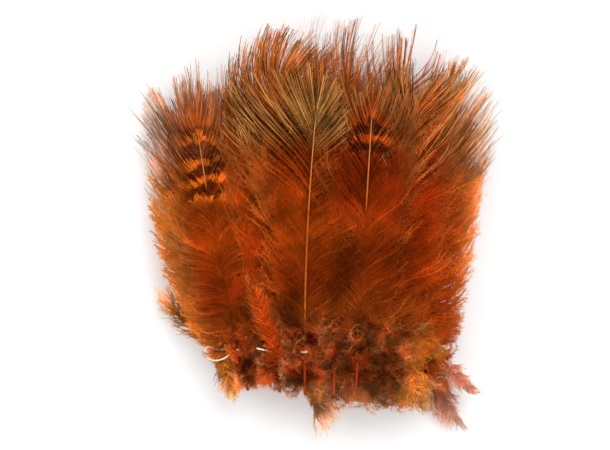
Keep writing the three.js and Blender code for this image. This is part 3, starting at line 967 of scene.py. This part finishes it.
def vane(rng, shaft, gap, loft, web, bare_from=0.7, sweep=0.0, leans=(0.85, 0.85, 1.0), flare=(0, 0),
         straight=0.0, cling=0.3, part=0.5, closed=0.4, thin=0.1, fewest=3, most=9, crowd=1.6,
         long=(1.0, 1.0), end=1.0, finish=0.5, spread=0.15, ragged=0.06, flare_from=0.76):
    """The vane of a hackle, from soft barbs low on the shaft to stiff ones at its tip."""
    root, side = comb(rng, SKIRT_ROOTS[-1], shaft.length, gap, gap / crowd)
    u = root / shaft.length
    share, lean = hackle_barb(u)
    lean = lean * np.interp(u, LEAN_HEIGHTS, leans)
    lean = lean + np.radians(np.where(side < 0, *flare)) * ease((u - flare_from) / FLARE_OVER)
    stiff = ease((u - STIFF_FROM) / STIFF_OVER)
    soft = 1 - ease(u / SOFT_TO)
    covered = 1 - ease((u - bare_from) / BARE_OVER)  # the barbs cross the shaft and hide it up to there
    apart = gap * (1 - (1 - 1 / crowd) * u) * np.sin(np.maximum(lean * 0.8, 0.3))
    bundle = bundle_up(rng, side, fewest, most)
    uneven = 1 + ragged * stiff * rng.normal(0, 1, bundle.max() + 1)[bundle].clip(-2, 1.5)
    longer = np.interp(u, (0.3, 0.5), (0, 1)) * (np.where(side < 0, *long) - 1)
    return every_barb(
        root=root, side=side, lean=lean, stiff=stiff, velvet_from=0.03, bundle=bundle,
        beside=-side * covered * rng.uniform(0.1, 0.9, len(root)),
        over=LEVEL + COVERED_ABOVE * covered,
        length=share * shaft.reach * rng.normal(1, 0.05, len(root)).clip(0.85, 1.08) * uneven
        * np.interp(u, (0.7, 0.95), (1, end)) * (1 + longer * np.interp(u, (0.7, 0.95), (1, 0.3))),
        sweep=sweep + rng.normal(0, 0.08 + 0.2 * (1 - stiff)),
        stray=0.09 + 0.12 * soft + 0.16 * (1 - stiff),
        wave=(0.08 + 0.2 * soft + 0.34 * (1 - stiff)) * rng.uniform(0.3, 1.4, len(root)),
        waves=rng.uniform(0.5, 1.5, len(root)),
        straight=straight * stiff,
        finish=spread + (finish - spread) * stiff,
        cling=0.08 + (cling + 0.12) * stiff,
        part=0.9 + (part - 0.9) * stiff,
        arch=loft * (0.4 + 0.5 * (1 - stiff)),
        loft=0.3 + 0.3 * (1 - stiff) + 0.2 * soft,
        wide=apart * web,
        thin=thin * (1.3 - 0.3 * stiff),
        closed=0.75 + (closed - 0.85) * stiff,
        velvet=1.0 - 0.85 * stiff,
        velvet_to=0.97 - 0.55 * stiff,
        barbule=1.3 - 0.6 * stiff + 0.3 * soft,
    )


# %% [markdown]
# ## One feather
# The ribbons, the barbules and the shaft come from the same numbers, so they always fit each other. The barbs
# keep their full width along the closed part of the vane and are as fine as hair beyond it.

# %% One feather
def feather_parts(rng, shaft, place, barbs, velvet, quill, arch_radius):
    """The ribbons, barbules and shaft of one feather."""
    points, out, up = grow(rng, shaft, place, barbs)
    numbers = numbers_of(barbs, out, up, shaft, arch_radius)
    t = np.linspace(0, 1, STEPS)[None, :]
    closed = barbs["closed"][:, None]
    taper = 1 - ease((t - closed * 0.5) / (0.5 + closed * 0.5))
    hair = 2 * barbs["thin"][:, None] * (1 - 0.5 * t)
    width = hair + (barbs["wide"][:, None] - hair).clip(0) * taper
    roll = rng.normal(0, 0.4, len(barbs["root"])) * (1 + 0.8 * barbs["stiff"])
    corners, quads, values, sheet = ribbons(points, width, roll, numbers)
    ribbon = corners, [quads], values, sheet, 0
    corners, triangles, values, sheet = barbules(rng, points, numbers, barbs, velvet)
    fluff = corners, [triangles], values, sheet, 0
    path, radius, along = shaft_path(shaft, place, -quill)
    corners, quads, ends = tube(path, radius)
    spread = np.repeat((along + quill) / (shaft.length + quill), TUBE_SIDES)
    sheet = np.stack([np.tile(np.arange(TUBE_SIDES) / TUBE_SIDES, len(path)) * BAKE_ROUND, spread], 1)
    return [ribbon, fluff, (corners, [quads, ends], {"out_share": spread}, sheet, 1)]


# %% [markdown]
# ## Habits
# No two hackles of a bunch are alike: some are swept to one side, some stand upright, some have stiff tips
# that flare, and in some the barbs cling in locks. One feather copied many times would show it at once. The
# table says only where a hackle isn't as the vane above makes it.

# %% The habits of the hackles
BRIGHT_SHAFTS = {"hackle_21", "hackle_20", "hackle_15", "plume_3", "plume_7"}
ARCH_RADIUS = {"hackle_20": 9.0}  # mm of the arcs of its bands, for the other hackles HACKLE_ARCH
HACKLE_ARCH = 50.0
HABITS = {  # where a hackle's barbs aren't as vane makes them
    "hackle_01": dict(end=0.8),
    "hackle_02": dict(end=0.6, ragged=0.12),
    "hackle_04": dict(end=0.72, ragged=0.16, leans=(0.85, 0.75, 0.8), flare=(-12, 6)),
    "hackle_05": dict(sweep=0.3, cling=0.5, part=0.3, crowd=1.2, thin=0.06, ragged=0.12, end=0.9),
    "hackle_06": dict(sweep=0.3, leans=(1.0, 0.8, 0.9), crowd=3.0, most=5, end=0.85, thin=0.12),
    "hackle_07": dict(cling=0.5, part=0.2, most=10, thin=0.12, leans=(1.1, 0.8, 0.52), ragged=0.08,
        finish=0.7, spread=0.45, long=(1.4, 1.0)),
    "hackle_08": dict(leans=(1.05, 0.7, 0.9), cling=0.3, sweep=0.2, crowd=4.0, most=5, end=0.85,
        thin=0.14, spread=0.3),
    "hackle_09": dict(end=0.6, leans=(0.85, 0.8, 0.8), ragged=0.12, flare=(0, -12), crowd=1.0),
    "hackle_10": dict(leans=(0.85, 0.7, 0.75), flare=(0, 30), crowd=2.8, finish=0.2, ragged=0.14,
        cling=0.5, part=0.2, long=(1.0, 1.12)),
    "hackle_11": dict(leans=(0.95, 0.8, 0.75), flare=(0, 14), straight=0.6, thin=0.08, finish=0.5,
        spread=0.3, long=(1.0, 1.35), crowd=3.0),
    "hackle_12": dict(leans=(0.85, 0.7, 0.75), flare=(-12, 30), cling=0.6, part=0.15, thin=0.1,
        crowd=3.0, finish=0.2, ragged=0.14, most=8),
    "hackle_13": dict(sweep=0.3, cling=0.4, thin=0.05, crowd=0.65, ragged=0.12, leans=(0.85, 0.8, 0.75)),
    "hackle_14": dict(cling=0.4, part=0.4, most=7, thin=0.14, leans=(1.0, 0.62, 0.5), flare=(12, 0),
        crowd=3.4, finish=0.8, long=(1.1, 1.3), ragged=0.12, straight=0.3, spread=0.4, flare_from=0.86),
    "hackle_15": dict(cling=0.12, closed=0.85, leans=(1.05, 0.7, 0.6), bare_from=0.66, thin=0.12,
        crowd=3.0, ragged=0.12, spread=0.4, long=(0.85, 1.0), end=0.84),
    "hackle_16": dict(sweep=0.5, leans=(0.65, 0.75, 0.95), thin=0.16, cling=0.3, part=0.5, crowd=5.2,
        fewest=2, most=6, ragged=0.1),
    "hackle_17": dict(leans=(0.65, 0.65, 0.65), sweep=0.2, thin=0.09, cling=0.5, part=0.3, crowd=1.3,
        most=7, ragged=0.14, flare=(-4, -16)),
    "hackle_18": dict(straight=0.6, thin=0.075, cling=0.1, crowd=4.2, leans=(0.9, 0.76, 0.72),
        flare=(0, 10), finish=0.5, ragged=0.08, spread=0.3, long=(1.0, 1.25)),
    "hackle_19": dict(leans=(0.8, 0.78, 0.72), flare=(0, 24), straight=0.6, cling=0.3, part=0.4,
        long=(0.45, 1.05), crowd=3.4, thin=0.085, finish=0.4, fewest=2, most=5, ragged=0.16),
    "hackle_20": dict(leans=(0.62, 0.65, 0.62), closed=0.5, cling=0.4, part=0.3, bare_from=0.5, end=0.5,
        ragged=0.14, crowd=2.2),
    "hackle_21": dict(leans=(0.6, 0.85, 1.0), cling=0.35, part=0.4, closed=0.3, fewest=2, most=5,
        bare_from=0.04, long=(1.25, 0.45), end=0.8, crowd=2.4, straight=0.6, finish=0.9, spread=0.3),
}

# %% [markdown]
# ## Hackles
# Now each hackle is grown from its place in the strip: the skirt of down, the loose curls, the vane and the
# shaft. Feathers on top get more barbs and barbules than those that lie hidden, because only they are seen
# from root to tip.

# %% Grow the hackles
SEED = 100  # each feather has its own, counted on from here
TOP_PLACE = 18  # from here up the pile, feathers show most of their vane
ON_TOP = dict(skirt_gap=0.16, skirt_loft=2.2, curl_gap=0.2, curl_loft=2.4, vane_gap=0.21, vane_loft=1.0,
              web=1.5, barbules=32000)
HIDDEN = dict(skirt_gap=0.24, skirt_loft=1.2, curl_gap=0.5, curl_loft=1.0, vane_gap=0.24, vane_loft=0.5,
              web=2.6, barbules=13500)
RICH_EDGE = {"hackle_07", "hackle_14", "hackle_15", "hackle_10", "hackle_11", "hackle_18"}
RICH_BARBULES = 23000  # for those that lie hidden, but show at the edge of the pile
WORN_SIDE = {"hackle_15": -1, "hackle_18": 1, "hackle_19": 1}  # beside a loop or the golden plume
WORN_LENGTH = 0.35
SKIRT_SCALE = ((-12, 0, 14), (0.75, 1.0, 2.1))  # mm along the thread, and how long the down under it is
CURLS_FROM = -9  # mm along the quill
CURLS_TO = 7
pieces = {}


def dress(rng, place, barbs, velvet, quill, arch_radius):
    """The mesh of one feather, kept under the name of its solid. Gives its triangles."""
    name, _, _, _, look = FEATHERS[place]
    parts = feather_parts(rng, shafts[name], place, fated(rng, barbs), velvet, quill, arch_radius)
    horn_finish = shaft_bright if name in BRIGHT_SHAFTS else shaft_dark
    pieces[name], faces = make_piece(name + "_barbs", parts, [plumages[look], horn_finish])
    return faces


total = 0
for place, (name, at, *_) in enumerate(FEATHERS):
    if name.startswith("plume"):
        continue
    rng = np.random.default_rng(SEED + place)
    on_top = place >= TOP_PLACE
    plan = ON_TOP if on_top else HIDDEN
    skirt = down_skirt(rng, plan["skirt_gap"], plan["skirt_loft"])
    skirt["length"] *= np.interp(at, *SKIRT_SCALE)
    loose = curls(rng, CURLS_FROM, CURLS_TO, plan["curl_gap"], plan["curl_loft"])
    for down in (skirt, loose):
        down["length"] *= np.where(down["side"] == WORN_SIDE.get(name), WORN_LENGTH, 1)
    upper = vane(rng, shafts[name], plan["vane_gap"], plan["vane_loft"], plan["web"], **HABITS.get(name, {}))
    velvet = RICH_BARBULES if name in RICH_EDGE and not on_top else plan["barbules"]
    total += dress(rng, place, join_barbs(skirt, loose, upper), velvet, QUILL_PAST_THREAD,
                   ARCH_RADIUS.get(name, HACKLE_ARCH))
print("hackles:", total, "triangles")

# %% [markdown]
# ## Plumes
# Between the hackles hang small downy plumes from the same skin. Their barbs are long for their size, they
# wave more, and the outer ones droop over the edge of the pile.

# %% Grow the plumes
PLUME_BUNDLES = (3, 7)


def plume_vane(rng, shaft, gap=0.18, slender=1.0, tuft=1.0, cling=0.35, barbule=1.0, thin=0.07, finish=0.5,
               over=0.6, bare=-1.0, long=(1.0, 1.0), open_by=1.0, wave=0.5):
    """The barbs of a small downy plume. It is bare up to a share of its shaft."""
    root, side = comb(rng, max(bare * shaft.length, 0.5 - PLUME_QUILL_PAST_THREAD), shaft.length, gap)
    u = np.clip(root / shaft.length, 0, 1)
    share, lean = plume_barb(u)
    back = ease((1.0 - root) / 5.0)
    return every_barb(
        root=root, side=side, over=over, stray=0.3, straight=0, finish=finish, cling=cling, part=0.4,
        arch=0.7, loft=0.5, wide=0.2, thin=thin, closed=0.2, stiff=0.3, velvet=1, velvet_from=0.05,
        velvet_to=0.9, barbule=barbule,
        beside=-side * rng.uniform(0, 0.5, len(root)),
        length=share * shaft.reach * slender * rng.uniform(0.6, 1.15, len(root)) * (1 + (tuft - 1) * ease(u))
        * np.where(side < 0, *long),
        lean=(lean + 0.9 * back) * open_by,
        sweep=rng.normal(0, 0.2, len(root)),
        wave=wave * rng.uniform(0.3, 1.4, len(root)),
        waves=rng.uniform(0.5, 1.5, len(root)),
        bundle=bundle_up(rng, side, *PLUME_BUNDLES),
    )


PLUME_HABITS = {  # how each plume's barbs are set
    "plume_1": dict(gap=0.08, cling=0.12, barbule=0.5, thin=0.07, slender=0.9, finish=0.3, tuft=1.2,
        bare=0.25, long=(0.75, 1.25), open_by=0.55),
    "plume_2": dict(gap=0.12, slender=0.9, barbule=0.5, finish=0.5, tuft=1.7, thin=0.06, open_by=0.5,
        long=(0.8, 1.2)),
    "plume_3": dict(gap=0.06, cling=0.35, barbule=0.7, thin=0.09, finish=0.2, long=(1.5, 0.4)),
    "plume_4": dict(gap=0.1, cling=0.15, barbule=0.5, thin=0.07, slender=0.7, finish=0.3, tuft=1.1,
        bare=0.3, open_by=0.65),
    "plume_5": dict(gap=0.08, cling=0.4, barbule=0.5, thin=0.08, finish=0.3, open_by=0.7, tuft=1.5),
    "plume_6": dict(gap=0.055, cling=0.1, barbule=0.7, slender=1.1, finish=0.0, over=1.6, tuft=1.3),
    "plume_7": dict(gap=0.07, slender=0.6, barbule=0.45, finish=0.3, cling=0.45, over=0.5, open_by=0.75,
        thin=0.1, wave=0.2),
}
PLUME_ARCH = 30.0
PLUME_BARBULES = {"plume_1": 9000, "plume_4": 5500, "plume_6": 12000}
FEW_BARBULES = 3000  # for the others
RISING_PLUMES = {"plume_6"}  # its loose down also rises above the thread
RISEN_GAP = 0.1
RISEN_LOFT = 1.6
RISEN_TO = 5  # mm along its shaft
RISEN_LEANS = (110, 178)
RISEN_LENGTHS = (7, 15)
plume_total = 0
for place, (name, *_) in enumerate(FEATHERS):
    if not name.startswith("plume"):
        continue
    rng = np.random.default_rng(SEED + place)
    barbs = plume_vane(rng, shafts[name], **PLUME_HABITS[name])
    if name in RISING_PLUMES:
        risen = curls(rng, -PLUME_QUILL_PAST_THREAD, RISEN_TO, RISEN_GAP, RISEN_LOFT)
        risen["lean"] = np.radians(rng.uniform(*RISEN_LEANS, len(risen["root"])))
        risen["length"] = rng.uniform(*RISEN_LENGTHS, len(risen["root"]))
        barbs = join_barbs(barbs, risen)
    plume_total += dress(rng, place, barbs, PLUME_BARBULES.get(name, FEW_BARBULES),
                         PLUME_QUILL_PAST_THREAD, PLUME_ARCH)
print("plumes:", plume_total, "triangles")

# %% [markdown]
# ## The stringing thread
# One cotton thread weaves over one quill and under the next, and swings out to the next row where the strip
# folds. It is two plies twisted on each other. A single tube would look like wire, so each ply is a tube of
# its own that winds round the thread's route.

# %% Twist the thread
THREAD_RADIUS = 0.25
THREAD_GAP = 0.4  # mm between the thread and a quill
THREAD_LEVEL = 0.85  # mm above the pile, halfway between two quills
THREAD_EASE = 1.8  # mm from a quill to where the thread is level
THREAD_START = (1, 0.7)
THREAD_END = (-14, 0.9)
ROUTE_FINENESS = 12  # steps of the curve from one point of the route to the next
PLY_RADIUS = 0.15
PLY_PITCH = 1.9  # mm of thread for one turn of the twist
PLY_STEP = 0.3


def thread_route():
    """The points that the thread passes, from its start in the lowest row to its end in the highest."""
    clear = QUILL_RADIUS + THREAD_GAP + THREAD_RADIUS
    route, place = [], 0

    def through(on, x, y, rise):
        route.append((x, y, float(pile_height(on, x, y)) + rise))

    for feathers, turns in STRIP:
        places_at = [feather[1] for feather in feathers]
        onward = math.copysign(1, places_at[1] - places_at[0])
        for i, at in enumerate(places_at):
            if i:
                through(place - 1, at - onward * THREAD_EASE, 0, THREAD_LEVEL)
            for turn in (-math.pi / 4, 0, math.pi / 4):
                rise = clear * math.cos(turn) * (-1 if i % 2 else 1)
                through(place, at + onward * clear * math.sin(turn), 0, QUILL_RADIUS + rise)
            if i + 1 < len(places_at):
                through(place, at + onward * THREAD_EASE, 0, THREAD_LEVEL)
            place += 1
        for x, y, rise in turns:
            through(place - 1, x, y, rise)
    route.insert(0, (*THREAD_START, route[0][2]))
    route.append((*THREAD_END, route[-1][2]))
    return np.array(route)


def smooth_route(points, step):
    """Points a step apart on a smooth curve through the route."""
    knots = np.concatenate([[0], np.cumsum(np.linalg.norm(np.diff(points, axis=0), axis=1) ** 0.5)])
    slopes = np.gradient(points, knots, axis=0)
    fine = []
    for a in range(len(points) - 1):
        width = knots[a + 1] - knots[a]
        t = np.linspace(0, 1, ROUTE_FINENESS, endpoint=False)[:, None]
        fine.append((2 * t ** 3 - 3 * t ** 2 + 1) * points[a] + (t ** 3 - 2 * t ** 2 + t) * width * slopes[a]
                    + (3 * t ** 2 - 2 * t ** 3) * points[a + 1] + (t ** 3 - t ** 2) * width * slopes[a + 1])
    fine = np.concatenate(fine + [points[-1:]])
    length = np.concatenate([[0], np.cumsum(np.linalg.norm(np.diff(fine, axis=0), axis=1))])
    even = np.linspace(0, length[-1], int(length[-1] / step))
    return np.stack([np.interp(even, length, fine[:, k]) for k in range(3)], 1), even


route, run = smooth_route(thread_route(), PLY_STEP)
ahead, right = (v[0] for v in across(route[None]))
above = np.cross(right, ahead)
plies = []
for ply in range(2):
    turn = run / PLY_PITCH * 2 * np.pi + ply * np.pi
    offset = (right * np.cos(turn)[:, None] + above * np.sin(turn)[:, None]) * (THREAD_RADIUS - PLY_RADIUS)
    corners, quads, ends = tube(route + offset, np.full(len(route), PLY_RADIUS))
    around = (np.arange(TUBE_SIDES) / TUBE_SIDES * BAKE_ROUND + ply) / 2
    sheet = np.stack([np.tile(around, len(route)), np.repeat(run / run[-1], TUBE_SIDES)], 1)
    plies.append((corners, [quads, ends], {}, sheet, 0))
pieces["stringing_thread"], faces = make_piece("twisted_thread", plies, [thread_finish])
print("thread:", round(run[-1]), "mm long,", faces, "triangles; whole bunch:", total + plume_total + faces)

# %% [markdown]
# ## Each piece takes the place of its solid
# The imported solids stay for collision, and the grown feathers are shown instead. They ride on the one body of
# the bunch.

# %% Tie the pieces to the imported bunch
for node, piece in pieces.items():
    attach(piece, "root")
    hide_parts(node)
print("pieces:", len(pieces), "of", len(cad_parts), "nodes")

# %% [markdown]
# ## The table and the light
# Such bunches are photographed on white, under big soft lights. A bright sky gives the even light, and one
# wide lamp at the upper right gives the soft shadow that falls to the lower left. A weak one in front lights
# the down that hangs over the edge, and another at the left opens the shadows.

# %% Table and lights
def table_finish():
    f = Finish("white_card")
    mottle = f.noise(30.0, 3.0)
    tone = f.ramp(mottle, [(0.3, dye(250, 250, 250)), (0.7, dye(255, 255, 255))])
    return f.done(f.surface(
        Base_Color=tone,
        Roughness=f.maths("MULTIPLY_ADD", mottle, 0.1, 0.8),
        Specular_IOR_Level=0.1,
    ))


TABLE_HALF = 3000.0
TABLE_DEPTH = 0.05  # mm under the bunch
card = bpy.data.meshes.new("table")
corners = [(x * TABLE_HALF, y * TABLE_HALF, -TABLE_DEPTH) for x, y in ((-1, -1), (1, -1), (1, 1), (-1, 1))]
card.from_pydata([Vector(corner) * MM for corner in corners], [], [(0, 1, 2, 3)])
card.materials.append(table_finish())
table = bpy.data.objects.new("table", card)
bpy.context.scene.collection.objects.link(table)

SKY_STRENGTH = 0.8
LAMPS = {  # the place and the width in mm, and the power in watts; all point at the middle of the bunch
    "key": ((200, 360, 860), 560, 3.2),
    "fill": ((-600, 260, 560), 500, 0.75),
    "front": ((60, -620, 420), 500, 1.2),
}

world = bpy.data.worlds.new("studio")
world.use_nodes = True
sky = world.node_tree.nodes["Background"]
sky.inputs["Color"].default_value = (1.0, 1.0, 1.0, 1.0)
sky.inputs["Strength"].default_value = SKY_STRENGTH
bpy.context.scene.world = world


def soft_lamp(name, place_mm, size_mm, power):
    lamp = bpy.data.objects.new(name, bpy.data.lights.new(name, "AREA"))
    lamp.data.shape = "DISK"
    lamp.data.size = size_mm * MM
    lamp.data.energy = power
    lamp.location = Vector(place_mm) * MM
    lamp.rotation_euler = (-lamp.location).to_track_quat("-Z", "Y").to_euler()
    bpy.context.scene.collection.objects.link(lamp)


for name, (place_mm, size_mm, power) in LAMPS.items():
    soft_lamp(name, place_mm, size_mm, power)
bpy.context.scene.view_settings.view_transform = "Standard"
bpy.context.scene.view_settings.look = "None"
